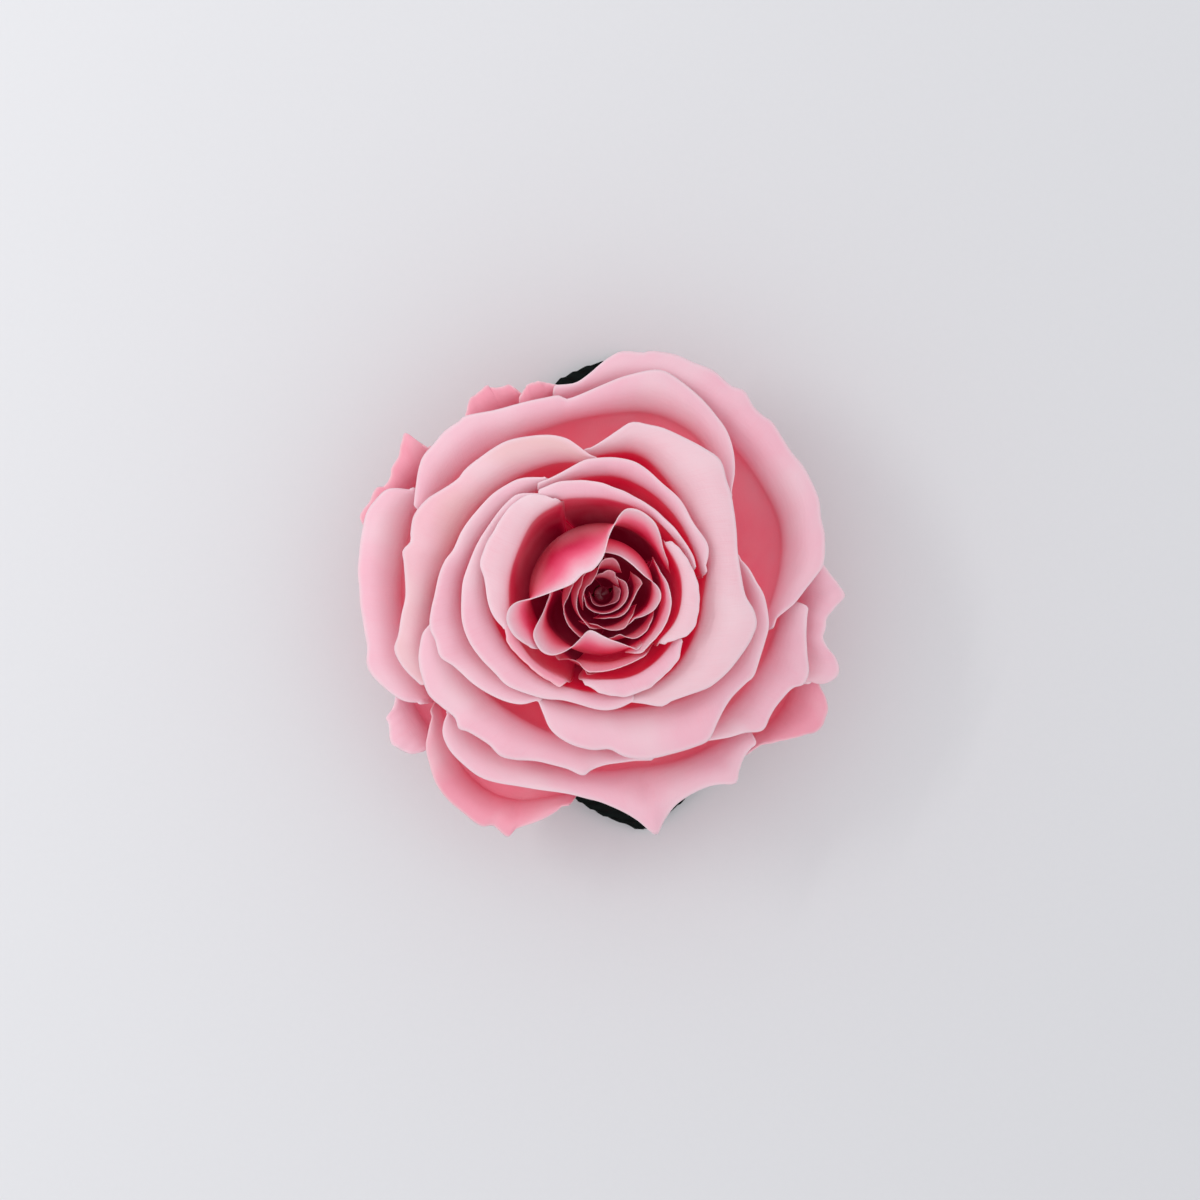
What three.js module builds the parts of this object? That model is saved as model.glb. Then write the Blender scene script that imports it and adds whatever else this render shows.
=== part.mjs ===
// An open garden rose, face up, as picked: petals, hip with a short cut stem, sepals and two leaves.
// Units are millimetres. +Z is up, the bloom looks up, +Y is the side of the tall upper petals.
import * as THREE from 'three';

// Driving dimensions
const PETAL_THICK = 0.34;
const LEAF_THICK = 0.5;
const SEPAL_THICK = 0.7;
const BOX_SHIFT_X = 0.16;
const BOX_SHIFT_Y = 0.1;
const STEM_RADIUS = 2.7;
const HIP_RADIUS = 12.6;
const CRADLE_Z = 43;

// Shape family shared by every petal. "crest" is the radius where a petal turns over its highest line.
const crestHeight = (crest) => 66 - 0.3 * crest - 0.013 * crest * crest;
const lipSlope = (crest) => 0.1 + 0.02 * crest;
const crestRound = (crest) => Math.min(4.5, 1.6 + Math.max(0, crest - 17) * 0.14);
const clawRadius = (crest) => 0.6 + 0.27 * crest;
const clawHeight = (crest) => 30 - 0.3 * crest;
const CLAW_WIDTH = 0.5;
const LIP_BEND = 3;
const BOWL_START = 0.26;
const PEAK_SHARE = 0.5;
const PEAK_MOST = 6;
const INNER_SLOPE = 0.8;

const group = new THREE.Group();
group.name = 'rose';

const petalPink = new THREE.MeshStandardMaterial({ color: 0xf0b9c6, roughness: 0.6, metalness: 0 });
const petalDeep = new THREE.MeshStandardMaterial({ color: 0xd9718c, roughness: 0.6, metalness: 0 });
const leafGreen = new THREE.MeshStandardMaterial({ color: 0x1c2b22, roughness: 0.55, metalness: 0 });
const stemGreen = new THREE.MeshStandardMaterial({ color: 0x5c7a3c, roughness: 0.6, metalness: 0 });
const sepalGreen = new THREE.MeshStandardMaterial({ color: 0x4f6f3a, roughness: 0.65, metalness: 0 });

function addMesh(name, positions, triangles, material) {
  const geometry = new THREE.BufferGeometry();
  const shifted = positions.flatMap(([x, y, z]) => [x + BOX_SHIFT_X, y + BOX_SHIFT_Y, z]);
  geometry.setAttribute('position', new THREE.Float32BufferAttribute(shifted, 3));
  geometry.setIndex(triangles.flat());
  geometry.computeVertexNormals();
  const mesh = new THREE.Mesh(geometry, material);
  mesh.name = name;
  group.add(mesh);
}

// A thin closed sheet: a grid of points, offset half the thickness to each side and sewn round its edge.
function addSheet(name, grid, thickness, material) {
  const columns = grid.length;
  const rows = grid[0].length;
  const at = (i, j) => new THREE.Vector3(...grid[i][j]);
  const front = [];
  const back = [];
  for (let i = 0; i < columns; i += 1) {
    for (let j = 0; j < rows; j += 1) {
      const across = at(Math.min(i + 1, columns - 1), j).sub(at(Math.max(i - 1, 0), j));
      const along = at(i, Math.min(j + 1, rows - 1)).sub(at(i, Math.max(j - 1, 0)));
      const normal = across.cross(along).normalize().multiplyScalar(thickness / 2);
      front.push(at(i, j).add(normal).toArray());
      back.push(at(i, j).sub(normal).toArray());
    }
  }
  const count = columns * rows;
  const id = (i, j) => i * rows + j;
  const triangles = [];
  const quad = (a, b, c, d) => triangles.push([a, b, c], [a, c, d]);
  for (let i = 0; i + 1 < columns; i += 1) {
    for (let j = 0; j + 1 < rows; j += 1) {
      quad(id(i, j), id(i + 1, j), id(i + 1, j + 1), id(i, j + 1));
      quad(count + id(i, j), count + id(i, j + 1), count + id(i + 1, j + 1), count + id(i + 1, j));
    }
  }
  for (let i = 0; i + 1 < columns; i += 1) {
    quad(id(i, 0), count + id(i, 0), count + id(i + 1, 0), id(i + 1, 0));
    quad(id(i, rows - 1), id(i + 1, rows - 1), count + id(i + 1, rows - 1), count + id(i, rows - 1));
  }
  for (let j = 0; j + 1 < rows; j += 1) {
    quad(id(0, j), id(0, j + 1), count + id(0, j + 1), count + id(0, j));
    const a = id(columns - 1, j);
    quad(a, count + a, count + a + 1, a + 1);
  }
  addMesh(name, [...front, ...back], triangles, material);
}

// Straight-line reading of a short [angle, value] list.
function readList(list, angle) {
  if (angle <= list[0][0]) {
    return list[0][1];
  }
  for (let i = 1; i < list.length; i += 1) {
    const [a1, v1] = list[i];
    const [a0, v0] = list[i - 1];
    if (angle <= a1) {
      return v0 + (v1 - v0) * ((angle - a0) / (a1 - a0));
    }
  }
  return list[list.length - 1][1];
}

// Bowl from the claw to a vertical top at (topRadius, topHeight); share runs 0 to 1.
function bowlPoint(crest, topRadius, topHeight, share) {
  const angle = BOWL_START + (Math.PI / 2 - BOWL_START) * share;
  const side = (Math.sin(angle) - Math.sin(BOWL_START)) / (1 - Math.sin(BOWL_START));
  const rise = 1 - Math.cos(angle) / Math.cos(BOWL_START);
  const r0 = clawRadius(crest);
  const z0 = clawHeight(crest);
  return [r0 + (topRadius - r0) * side, z0 + (topHeight - z0) * rise];
}

// Side view of an open petal: bowl, a round turn, a slope up to the highest line, then a lip down to the rim.
function openProfile(crest, rim) {
  const reach = Math.max(0.4, rim - crest);
  const peak = Math.min(PEAK_SHARE * reach, PEAK_MOST);
  const dip = 0.5 * INNER_SLOPE * peak;
  const round = crestRound(crest);
  const height = crestHeight(crest);
  const tilt = Math.atan(INNER_SLOPE);
  const centreR = crest + round * Math.sin(tilt);
  const centreZ = height - dip - round * Math.cos(tilt);
  const bowl = [0, 0.36, 0.7, 1].map((s) => bowlPoint(crest, centreR - round, centreZ, s));
  const end = [crest, height - dip];
  const lip = [peak, 0.5 * (peak + reach), reach].map((d) => [
    crest + d,
    height - lipSlope(crest) * (Math.hypot(d - peak, LIP_BEND) - LIP_BEND),
  ]);
  return [...bowl, end, ...lip];
}

// Side view of a heart petal: bowl up to its widest height, then a lean in or out to the rim.
function heartProfile(belly, rim, rimHeight) {
  const bowl = [0, 0.45, 1].map((s) => bowlPoint(belly, belly, CRADLE_Z, s));
  const lean = [0.45, 0.8, 1].map((s) => [
    belly + (rim - belly) * s * s,
    CRADLE_Z + (rimHeight - CRADLE_Z) * s,
  ]);
  return [...bowl, ...lean];
}

// Rim points in plan turned into running angles (degrees) and radii.
function rimPolar(rim) {
  let last = null;
  return rim.map(([x, y, z]) => {
    let angle = THREE.MathUtils.radToDeg(Math.atan2(y, x));
    if (last === null) {
      angle = (angle + 360) % 360;
    } else {
      angle += 360 * Math.round((last - angle) / 360);
    }
    last = angle;
    return { angle, radius: Math.hypot(x, y), z };
  });
}

// A petal is a fan of side views. Low down it narrows towards its middle line.
function addPetal(name, rim, profileAt, material) {
  const columns = rimPolar(rim);
  const middle = (columns[0].angle + columns[columns.length - 1].angle) / 2;
  const levels = profileAt(columns[0].angle, columns[0]).length;
  const grid = columns.map((column) => {
    const points = [];
    for (let j = 0; j < levels; j += 1) {
      const widen = Math.min(1, j / (levels - 3));
      const share = CLAW_WIDTH + (1 - CLAW_WIDTH) * widen * (2 - widen);
      const angle = middle + (column.angle - middle) * share;
      const [r, z] = profileAt(angle, column)[j];
      const turn = THREE.MathUtils.degToRad(angle);
      points.push([r * Math.cos(turn), r * Math.sin(turn), z]);
    }
    return points;
  });
  addSheet(name, grid, PETAL_THICK, material);
}

function openPetal(name, crest, rim, material = petalPink) {
  addPetal(name, rim, (angle, column) => openProfile(readList(crest, angle), column.radius), material);
}

function heartPetal(name, belly, rim, material = petalDeep) {
  const profileAt = (angle, column) => heartProfile(readList(belly, angle), column.radius, column.z);
  addPetal(name, rim, profileAt, material);
}

// Outer petals, listed anticlockwise: [angle, crest radius] pairs, then rim points [x, y].
openPetal('petal_outer_right', [[350, 33.6], [360, 35.4], [380, 39.5], [400, 40], [420, 41.5], [450, 41],
  [463, 39.5]], [
  [32.6, -6], [36, -3.3], [40, 1], [43.5, 7], [44, 11.2], [42.7, 19], [39.5, 25.5], [36, 30.5],
  [33, 34.2],
  [28, 40.3], [22, 44.2], [14.5, 47.5], [4, 48], [-0.5, 45.3], [-5.3, 42], [-9, 41.4],
]);
openPetal('petal_outer_top_small', [[99, 41.8], [112, 39.8]], [
  [-6.5, 42.6], [-8.8, 42], [-12.5, 41.9], [-14.8, 41.3], [-15.9, 39.4],
], petalDeep);
openPetal('petal_outer_upper_left', [[111, 42.4], [128, 42.2]], [
  [-16, 40.4], [-18.4, 41.4], [-20.4, 40.7], [-22.8, 41.3], [-25.2, 39.4], [-27, 35.4],
], petalDeep);
openPetal('petal_outer_left_tip', [[140, 44.4], [164, 45.6]], [
  [-34.5, 29], [-39, 31.6], [-40.3, 27.4], [-41.9, 24.4], [-44.8, 21], [-48, 15.4], [-47.4, 13.6],
], petalDeep);
openPetal('petal_outer_left', [[150, 42], [180, 41.5], [211, 41]], [
  [-38, 20.4], [-42, 20.8], [-45, 18.5], [-47.3, 12], [-48.2, 5], [-47.6, -4], [-46.6, -10], [-46, -15],
  [-43.4, -18.5], [-39.5, -21], [-36.4, -21.4],
]);
openPetal('petal_outer_left_low', [[206, 45], [222, 45.4], [228, 47]], [
  [-40.9, -20.4], [-42.6, -24.3], [-42.3, -29], [-39.5, -31.3], [-34.5, -31],
]);
openPetal('petal_outer_lower_left', [[214, 39.9], [221, 42.4], [230, 46.5], [245, 47.5], [261, 41.2]], [
  [-33.2, -23.2], [-34.4, -27.8], [-34.5, -32.4], [-33.2, -37], [-31.2, -40.2], [-27, -44],
  [-22.5, -46.2], [-18.6, -48.2], [-14, -45.5], [-9.5, -43.2], [-6.8, -41.6],
], petalDeep);
openPetal('petal_outer_bottom', [[217, 37.6], [222, 38.8], [236, 38.6], [250, 36.6], [280, 36.4], [296, 38],
  [316, 39.6]], [
  [-30.4, -23.6], [-31.4, -27.2], [-30.2, -30.4], [-27.5, -33.4], [-20, -37.3], [-12, -38.5],
  [-3, -40.2], [4, -42.7], [8.4, -45.8], [10.9, -47.5],
  [12.8, -43.6], [17, -39.7], [22.5, -37.6], [26.5, -37.3], [28, -32.3], [30.2, -29.8],
]);
openPetal('petal_outer_lower_right', [[312, 42], [325, 44.6], [338, 43.4]], [
  [28.5, -31.6], [34, -29.6], [40, -28], [43.6, -26], [44.6, -22], [43, -17.9],
], petalDeep);
openPetal('petal_outer_right_wave', [[337, 42.2], [350, 40.6], [368, 40.6]], [
  [41.4, -17.4], [45, -17.3], [46.8, -14.5], [43.8, -8.8], [44.4, -4.6], [47.9, 0], [45, 4], [43.6, 6],
]);
openPetal('petal_outer_right_low', [[304, 34.4], [330, 35.4], [357, 37.4]], [
  [20.3, -28.8], [26, -28], [31.5, -26.7], [35, -21], [39.6, -17.7], [40.6, -13], [40, -8], [40.5, -3],
]);

// Middle petals
openPetal('petal_mid_top', [[38, 31], [57, 38], [75, 39], [90, 36.8], [110, 35.8], [140, 38], [154, 39.2]], [
  [25.2, 19.5], [26, 24], [24.5, 32], [19, 39], [10.5, 44.2], [3, 42.3], [-6.8, 38.8], [-13, 38.2],
  [-21, 36.4],
  [-28, 34], [-35, 28], [-36.3, 23], [-37, 18],
]);
openPetal('petal_mid_left', [[93, 26], [105, 28], [140, 30.4], [165, 31.6], [180, 34], [206, 36]], [
  [-1.5, 26.6], [-7, 30.3], [-14, 30.8], [-21, 28.5], [-27, 24], [-32, 20], [-37, 14.4], [-38.9, 8.4],
  [-38.6, 0], [-40, -7.6], [-40.4, -12], [-36, -17.5],
]);
openPetal('petal_mid_right', [[285, 20.6], [310, 21.2], [330, 20.6], [360, 20.4], [375, 22.2], [402, 23.4],
  [420, 26.4], [435, 30], [457, 27.8]], [
  [5.8, -21], [11.5, -21.8], [18, -19.3], [25, -14.5], [29.5, -7.5], [28.4, -1.5], [26.4, 6], [26, 13],
  [24.8, 20.4], [23, 26], [15, 31], [6.5, 33.6], [0, 30], [-3, 28.2],
]);
openPetal('petal_mid_lower_left', [[190, 31], [215, 31.4], [235, 30.4], [260, 30.2], [287, 31.8]], [
  [-33.7, -6], [-35.8, -12], [-34, -19.5], [-28.8, -24.6], [-22.3, -29.2], [-17, -32.4], [-9, -33.4],
  [-3.6, -35.5], [2, -33.2], [9.6, -32.5],
]);
openPetal('petal_mid_bottom', [[238, 23.6], [265, 22.8], [290, 24.4], [312, 27.2], [340, 30.6], [352, 30.2],
  [376, 27]], [
  [-12.6, -20.6], [-10, -26], [-4, -30], [3, -30.8], [12, -31.6], [20, -29], [24, -22.5], [29, -16.6],
  [31.8, -9], [32.2, -3], [29.6, 3.4], [26.5, 7.4],
]);

// Ring petals round the hollow
openPetal('petal_ring_top_outer', [[12, 20.4], [29, 20.6], [46, 21.6], [63, 22.8], [83, 24.2], [120, 23.6]], [
  [19.8, 4.6], [20.4, 9], [17.6, 14], [14.6, 18.6], [9.4, 23.8], [3, 26.4], [-4, 25.7], [-9, 23.2],
  [-12.2, 21.6],
]);
openPetal('petal_ring_top_inner', [[16, 18.5], [45, 18.3], [75, 18.8], [100, 19.8], [121, 21.4]], [
  [18, 5.6], [16.6, 9.2], [13.6, 13.2], [9.8, 16.6], [5, 19.4], [-2, 21.8], [-8, 21.8], [-12, 20.3],
]);
openPetal('petal_ring_left_outer', [[115, 24.3], [150, 26.4], [180, 28.6], [205, 27.6], [238, 22.8]], [
  [-11.5, 22.6], [-18, 21.7], [-25, 15.3], [-29.4, 8.3], [-32.6, 0], [-33.6, -6], [-31.8, -12.2],
  [-25, -17.5],
  [-17.5, -21], [-12.8, -20.8],
]);
openPetal('petal_ring_left_middle', [[122, 22.3], [150, 23.6], [180, 23.2], [215, 21.6], [250, 20.2],
  [285, 20]], [
  [-12.4, 19.4], [-18, 18], [-24.3, 9.3], [-27.2, 0], [-26, -9], [-20.6, -15.6], [-14, -19.5],
  [-5, -21.3],
  [0.6, -22.5], [5.6, -21],
]);
openPetal('petal_ring_left_inner', [[117, 20.2], [131, 20.6], [141, 19.8], [152, 19.1], [185, 18.9],
  [199, 19.3]], [
  [-9.4, 18.4], [-15, 19], [-19, 15.5], [-22.7, 9], [-23.6, 4.6], [-22.3, 0], [-20.6, -5], [-19.3, -6.4],
]);
openPetal('petal_ring_lower_left', [[198, 18.8], [220, 19.5], [246, 18.8]], [
  [-18.8, -6.9], [-18.3, -9.5], [-16, -12.2], [-12.5, -15.4], [-8.5, -17.9],
], petalDeep);
openPetal('petal_ring_bottom', [[261, 17.6], [270, 17.3], [290, 17.9], [331, 17.2]], [
  [-2.9, -17.6], [0, -19.2], [4, -19.8], [9.5, -18], [13.4, -14.4], [15.4, -9.6],
]);
openPetal('petal_ring_right', [[322, 15], [340, 16], [376, 16.4], [396, 16.2]], [
  [12.6, -9.4], [16.4, -8], [18.6, -3.4], [18.7, 1], [17.4, 5], [15.6, 8], [13.8, 9.8],
]);

// Heart petals: [angle, widest radius] pairs, then rim points [x, y, z].
heartPetal('petal_inner_fold', [[30, 13.5], [60, 13.7], [90, 13.7], [175, 14.2], [205, 13.7], [215, 13.5]], [
  [12.4, 7.2, 52], [11.4, 11, 55], [9.2, 14.8, 57.5], [4.9, 16.4, 58.5], [2.7, 14, 58.5], [1.3, 11, 58],
  [-0.2, 6.5, 57.5], [-3.7, 3.6, 57.5], [-8.6, 0.8, 58], [-13, -0.9, 58.5], [-18, -3, 59],
  [-18.3, -5.6, 58],
  [-16.6, -8.6, 56.5], [-14.2, -10.1, 54],
], petalPink);
heartPetal('petal_inner_lower', [[181, 9.6], [205, 12.3], [245, 12], [303, 11.6]], [
  [-10.2, -0.3, 51], [-11.3, -3.2, 52.5], [-13, -7.2, 53.5], [-12.6, -9.6, 53.5], [-10, -12, 53.5],
  [-6, -10.5, 54], [-2.4, -7.2, 54.5], [1.8, -8.9, 54], [6.8, -10.9, 52.5],
], petalPink);
heartPetal('petal_inner_right', [[305, 11.7], [360, 11.6], [381, 11.8]], [
  [8, -11.2, 54], [10.5, -8.5, 55], [13, -4, 55.5], [13.3, 0, 55.5], [12.3, 2.8, 54.5], [11.3, 4.2, 53],
], petalPink);
heartPetal('petal_inner_cup', [[322, 7.6], [350, 9.4], [380, 10.2], [446, 10.8]], [
  [6.3, -4.8, 51.5], [9.4, -3.6, 52.5], [11.2, -1, 53], [10.4, 1.8, 53], [7.4, 4, 54], [4.5, 6.7, 54],
  [0.6, 8, 53],
], petalPink);
heartPetal('petal_inner_left', [[162, 7.3], [243, 8.8]], [
  [-5.6, 1.8, 50], [-7.3, -2.2, 51], [-7, -5, 51.5], [-5.6, -7.4, 51.5], [-4.3, -8.4, 50.5],
]);
heartPetal('petal_inner_left_small', [[139, 5.6], [250, 6.4]], [
  [-3.7, 3.4, 49.5], [-4.2, 1.6, 50], [-4.8, -1, 50.5], [-4.4, -4.2, 50.5], [-2.5, -6.6, 50],
]);
heartPetal('petal_inner_bottom_edge', [[261, 13.4], [304, 13.4]], [
  [-2.3, -15.2, 54], [0.6, -15, 54.5], [4.5, -13.9, 54.5], [8, -12.2, 54],
]);
heartPetal('petal_inner_lobe', [[236, 14], [260, 14.8]], [
  [-8.4, -12.9, 47], [-6, -12.9, 49.5], [-4.1, -13.9, 50.5], [-2.9, -15.6, 51],
]);
heartPetal('petal_heart_lower_tip', [[284, 9.2], [330, 10.2]], [
  [2.2, -8.4, 51.5], [3.4, -7.9, 52.5], [6, -8.4, 52.5], [8.6, -7.2, 52], [9.4, -5.6, 51.5],
]);
heartPetal('petal_heart_lower', [[260, 6.6], [318, 6.6]], [
  [-1, -6, 49.5], [2.2, -7.1, 50.5], [4.6, -6.5, 50.5], [5.4, -5, 50],
]);
heartPetal('petal_heart_right', [[282, 4.6], [342, 5.6], [374, 6.6]], [
  [1, -4.7, 49], [3.6, -4.3, 50], [5.6, -2, 50.5], [6.9, 0.6, 50.5], [7.8, 2, 50],
]);
heartPetal('petal_heart_swirl_left', [[74, 5.2], [190, 4.5]], [
  [2, 7, 50], [-0.2, 6.2, 50.5], [-1.6, 3.6, 50], [-3.1, 1.3, 49.5], [-3.8, -0.6, 49],
]);
heartPetal('petal_heart_swirl_right', [[194, 3.5], [280, 3.6], [403, 4.2]], [
  [-3.4, -1, 48.5], [-2.6, -3, 49], [0.4, -3.8, 49], [3.6, -2.4, 49.5], [5, 0, 49.5], [4.6, 2.2, 49],
  [3.2, 3, 49],
]);
heartPetal('petal_heart_top', [[50, 3.2], [92, 3.4]], [
  [2.6, 3.3, 48.5], [2.2, 4.4, 49], [0, 4, 48.5],
]);
heartPetal('petal_heart_core', [[198, 2.2], [372, 2.4]], [
  [-2.2, -0.8, 47], [-1.5, -2, 47.5], [1, -2, 48], [3, -1.4, 48], [3.6, 0.6, 47.5],
]);

// The tight bud in the middle, and the cut stem with its hip, are bodies turned about the middle line.
function addTurned(name, outline, sides, material) {
  const points = [];
  const triangles = [];
  for (let i = 0; i < sides; i += 1) {
    const turn = (2 * Math.PI * i) / sides;
    outline.forEach(([r, z]) => points.push([r * Math.cos(turn), r * Math.sin(turn), z]));
  }
  const count = outline.length;
  const bottom = points.length;
  points.push([0, 0, outline[0][1]], [0, 0, outline[count - 1][1]]);
  for (let i = 0; i < sides; i += 1) {
    const a = i * count;
    const b = ((i + 1) % sides) * count;
    triangles.push([bottom, b, a]);
    triangles.push([bottom + 1, a + count - 1, b + count - 1]);
    for (let j = 0; j + 1 < count; j += 1) {
      triangles.push([a + j, b + j, b + j + 1], [a + j, b + j + 1, a + j + 1]);
    }
  }
  addMesh(name, points, triangles, material);
}

addTurned('petal_heart_bud', [[0.5, 30.6], [1, 34], [1.5, 40], [1.3, 45], [0.6, 47]], 10, petalDeep);
addTurned('stem_and_hip', [
  [STEM_RADIUS, 0], [STEM_RADIUS, 6], [6.5, 8], [10.5, 11.2], [HIP_RADIUS, 14.6], [HIP_RADIUS - 0.4, 15.8],
  [0.8, 29.2],
], 18, stemGreen);

// Sepals: five narrow leaves under the bloom, out from the hip and drooping at the tips.
const SEPAL_LENGTH = 31;
const SEPAL_HALF_WIDTHS = [2.4, 3.4, 3.9, 3.3, 2, 0.5];
function addSepal(number) {
  const turn = THREE.MathUtils.degToRad(20 + 72 * number);
  const grid = [];
  for (let side = 0; side <= 4; side += 1) {
    const points = [];
    SEPAL_HALF_WIDTHS.forEach((half, j) => {
      const share = j / (SEPAL_HALF_WIDTHS.length - 1);
      const out = HIP_RADIUS + 0.6 + SEPAL_LENGTH * share;
      const cross = half * (1 - side / 2);
      const z = 13.4 - 1.2 * Math.sin(share * 2.4) - 5.2 * share * share - 0.05 * cross * cross;
      points.push([
        out * Math.cos(turn) + cross * Math.sin(turn),
        out * Math.sin(turn) - cross * Math.cos(turn),
        z,
      ]);
    });
    grid.push(points);
  }
  addSheet(`sepal_${number + 1}`, grid, SEPAL_THICK, sepalGreen);
}
for (let number = 0; number < 5; number += 1) {
  addSepal(number);
}

// Leaves: a leaf stalk and three toothed leaflets on each side, lying on the table.
const LEAFLET_HALF_WIDTHS = [1.2, 5.2, 8.2, 9.6, 9.6, 8, 5, 0.5];
const TOOTH = 0.5;
function addLeaflet(name, [startX, startY], heading, length, width) {
  const turn = THREE.MathUtils.degToRad(heading);
  const grid = [];
  for (let side = 0; side <= 4; side += 1) {
    const points = [];
    LEAFLET_HALF_WIDTHS.forEach((half, j) => {
      const share = j / (LEAFLET_HALF_WIDTHS.length - 1);
      const edge = Math.abs(side - 2) === 2 ? TOOTH * (j % 2) : 0;
      const cross = (half * width + edge) * (1 - side / 2);
      const out = length * share;
      const fold = 0.12 * Math.abs(cross);
      const z = 1.1 + fold + 1.2 * Math.sin(Math.PI * share);
      points.push([
        startX + out * Math.cos(turn) + cross * Math.sin(turn),
        startY + out * Math.sin(turn) - cross * Math.cos(turn),
        z,
      ]);
    });
    grid.push(points);
  }
  addSheet(name, grid, LEAF_THICK, leafGreen);
}

const STALK_RADIUS = 0.8;
function addStalk(name, path) {
  const sides = 6;
  const points = [];
  const triangles = [];
  path.forEach(([x, y, z], i) => {
    const [x1, y1] = path[Math.min(i + 1, path.length - 1)];
    const [x0, y0] = path[Math.max(i - 1, 0)];
    const heading = Math.atan2(y1 - y0, x1 - x0);
    for (let k = 0; k < sides; k += 1) {
      const turn = (2 * Math.PI * k) / sides;
      const across = STALK_RADIUS * Math.cos(turn);
      points.push([
        x - across * Math.sin(heading),
        y + across * Math.cos(heading),
        z + STALK_RADIUS * Math.sin(turn),
      ]);
    }
  });
  for (let i = 0; i + 1 < path.length; i += 1) {
    for (let k = 0; k < sides; k += 1) {
      const a = i * sides + k;
      const b = i * sides + ((k + 1) % sides);
      triangles.push([a, b, b + sides], [a, b + sides, a + sides]);
    }
  }
  for (let k = 1; k + 1 < sides; k += 1) {
    const end = (path.length - 1) * sides;
    triangles.push([0, k + 1, k], [end, end + k, end + k + 1]);
  }
  addMesh(name, points, triangles, leafGreen);
}

addStalk('leaf_stalk_top', [[-0.6, 3.4, 2], [-1.5, 10, 1.4], [-2.4, 19.4, 1.1]]);
addLeaflet('leaflet_top_end', [-2.5, 20.4], 74, 28.6, 1.5);
addLeaflet('leaflet_top_left', [-3.5, 12.4], 162, 23, 0.8);
addLeaflet('leaflet_top_right', [0, 11.4], 6, 23, 0.8);
addStalk('leaf_stalk_bottom', [[0.8, -3.4, 2], [2.4, -10, 1.4], [4.2, -19.4, 1.1]]);
addLeaflet('leaflet_bottom_end', [4.4, -20.4], -81, 27.4, 1.55);
addLeaflet('leaflet_bottom_left', [1.6, -12.4], 202, 23, 0.8);
addLeaflet('leaflet_bottom_right', [4.6, -11.8], -8, 23, 0.8);

export default group;
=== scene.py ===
# Looks for the rose: fine petals, sepals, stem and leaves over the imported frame, one light and one camera.
# Lengths in names ending _MM, and all petal and leaf numbers, are in millimetres.
import math
import random

import bpy
import numpy as np
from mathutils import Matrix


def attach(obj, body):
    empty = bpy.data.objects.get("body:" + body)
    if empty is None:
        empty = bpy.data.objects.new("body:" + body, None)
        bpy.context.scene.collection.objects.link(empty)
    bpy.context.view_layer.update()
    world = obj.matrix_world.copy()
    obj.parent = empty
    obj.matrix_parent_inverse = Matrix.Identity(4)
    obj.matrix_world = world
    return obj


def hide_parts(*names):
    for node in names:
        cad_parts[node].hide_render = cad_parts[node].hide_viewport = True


MM = 0.001
SHIFT_X = 0.16
SHIFT_Y = 0.10

# Same side-view family as the part: "crest" is the radius where a petal turns over its highest line (mm).
CRADLE_Z = 43.0
CLAW_WIDTH = 0.5
LIP_BEND = 3.0
BOWL_START = 0.26
PEAK_SHARE = 0.5
PEAK_MOST = 6.0
INNER_SLOPE = 0.8
RIM_CURL = 0.4
LEAST_REACH = 0.4

# Thickness, tapering to the rim, and how finely a petal is divided
PETAL_HALF_THICK = 0.15
RIM_HALF_THICK = 0.05
RIM_TAPER_MM = 4.0
COLUMNS = 96
BOWL_ROWS = 14
TURN_ROWS = 7
LIP_ROWS = 16
LEAN_ROWS = 20
CURVE_STEPS = 24
LIST_SOFTENING = (-6, -3, 0, 3, 6)

# Each end of a petal runs on a little, turning outward and getting shorter
END_COLUMNS = 10
END_REACH_MM = 3.4
END_LEAST_RADIUS = 6
OPEN_END_SPREAD, OPEN_END_SHORTEN = 0.9, 0.42
HEART_END_SPREAD, HEART_END_SHORTEN = 0.4, 0.25

# Seeded wobble of the rim: outward, and up and down
RIM_WAVES, RIM_WOBBLE_MM = (3, 5.5, 9), 0.13
LIFT_WAVES, LIFT_WOBBLE_MM = (2.3, 4.1, 7.7), 0.5
HEART_WOBBLE_SHARE = 0.3

# ---------------------------------------------------------------- camera
CAMERA_DISTANCE = 1.2
CAMERA_AIM = (-0.0004 + SHIFT_X * MM, -0.0012 + SHIFT_Y * MM, 0.035)
LENS_MM = 183.0


def add_camera():
    data = bpy.data.cameras.new("camera")
    data.lens = LENS_MM
    data.sensor_width = 36.0
    data.clip_end = 20.0
    camera = bpy.data.objects.new("camera", data)
    camera.location = (CAMERA_AIM[0], CAMERA_AIM[1], CAMERA_AIM[2] + CAMERA_DISTANCE)
    bpy.context.scene.collection.objects.link(camera)
    bpy.context.scene.camera = camera


# ---------------------------------------------------------------- petal geometry
def crest_height(crest):
    return 66 - 0.3 * crest - 0.013 * crest * crest


def lip_slope(crest):
    return 0.1 + 0.02 * crest


def crest_round(crest):
    return np.minimum(4.5, 1.6 + np.maximum(0, crest - 17) * 0.14)


def claw_radius(crest):
    return 0.6 + 0.27 * crest


def claw_height(crest):
    return 30 - 0.3 * crest


def bowl_point(crest, top_radius, top_height, share):
    angle = BOWL_START + (math.pi / 2 - BOWL_START) * share
    side = (math.sin(angle) - math.sin(BOWL_START)) / (1 - math.sin(BOWL_START))
    rise = 1 - math.cos(angle) / math.cos(BOWL_START)
    r0 = claw_radius(crest)
    z0 = claw_height(crest)
    return r0 + (top_radius - r0) * side, z0 + (top_height - z0) * rise


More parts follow.
